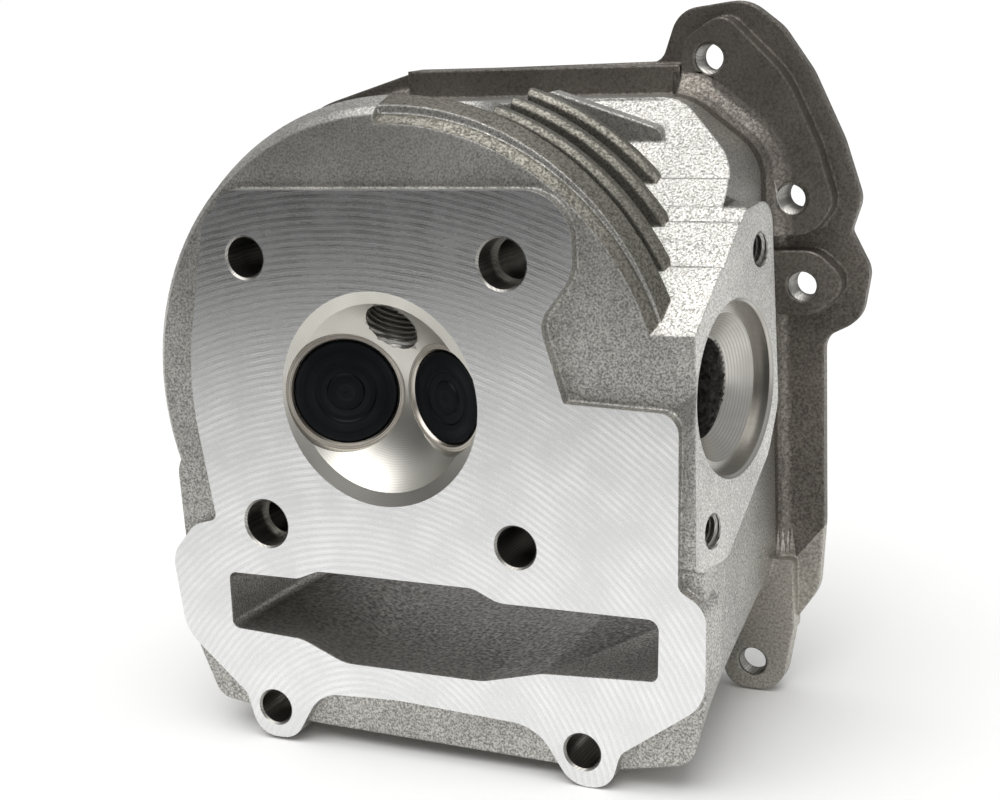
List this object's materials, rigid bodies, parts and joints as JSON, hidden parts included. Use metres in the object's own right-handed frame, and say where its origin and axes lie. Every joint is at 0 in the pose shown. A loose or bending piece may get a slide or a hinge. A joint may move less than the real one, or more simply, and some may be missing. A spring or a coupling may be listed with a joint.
{
  "type": "engine cylinder head",
  "caption": "Air-cooled four-stroke cylinder head with a domed chamber, two inclined spring-loaded valves, plug hole, side port, round cooling fins, a cam chain tunnel and a wide cover flange",
  "frame": {"origin": "middle of the four stud holes, on the gasket face", "axes": "+X towards the exhaust port, +Y from the gasket face into the head, +Z away from the chain tunnel, towards the spark plug"},
  "size_m": [0.129, 0.0651, 0.1363],
  "materials": {
    "cast_alloy": "grit-blasted casting with milled faces",
    "seat_steel": "ground",
    "blackened_steel": "matte black oxide",
    "bronze": "turned",
    "spring_steel": "shot-peened",
    "pressed_steel": "hardened, satin",
    "seal_rubber": "matte"
  },
  "bodies": {
    "head": {"head_casting": "cast_alloy", "intake_valve_seat": "seat_steel", "intake_valve_guide": "bronze", "intake_guide_clip": "spring_steel", "intake_spring_seat": "pressed_steel", "intake_stem_seal": "seal_rubber", "intake_seal_garter": "spring_steel", "intake_outer_spring": "spring_steel", "intake_inner_spring": "spring_steel", "exhaust_valve_seat": "seat_steel", "exhaust_valve_guide": "bronze", "exhaust_guide_clip": "spring_steel", "exhaust_spring_seat": "pressed_steel", "exhaust_stem_seal": "seal_rubber", "exhaust_seal_garter": "spring_steel", "exhaust_outer_spring": "spring_steel", "exhaust_inner_spring": "spring_steel"},
    "intake_valve_train": {"intake_valve": "blackened_steel", "intake_spring_retainer": "pressed_steel", "intake_collets": "pressed_steel"},
    "exhaust_valve_train": {"exhaust_valve": "blackened_steel", "exhaust_spring_retainer": "pressed_steel", "exhaust_collets": "pressed_steel"}
  },
  "joints": [
    {"name": "intake_valve_lift", "type": "slide", "parent": "head", "child": "intake_valve_train", "axis": [0.3584, -0.9336, 0], "range_m": [0, 0.0045], "stiffness_N_per_m": 15000, "springref_m": -0.008, "deforming": ["intake_outer_spring", "intake_inner_spring"]},
    {"name": "exhaust_valve_lift", "type": "slide", "parent": "head", "child": "exhaust_valve_train", "axis": [-0.3584, -0.9336, 0], "range_m": [0, 0.0045], "stiffness_N_per_m": 15000, "springref_m": -0.008, "deforming": ["exhaust_outer_spring", "exhaust_inner_spring"]}
  ]
}
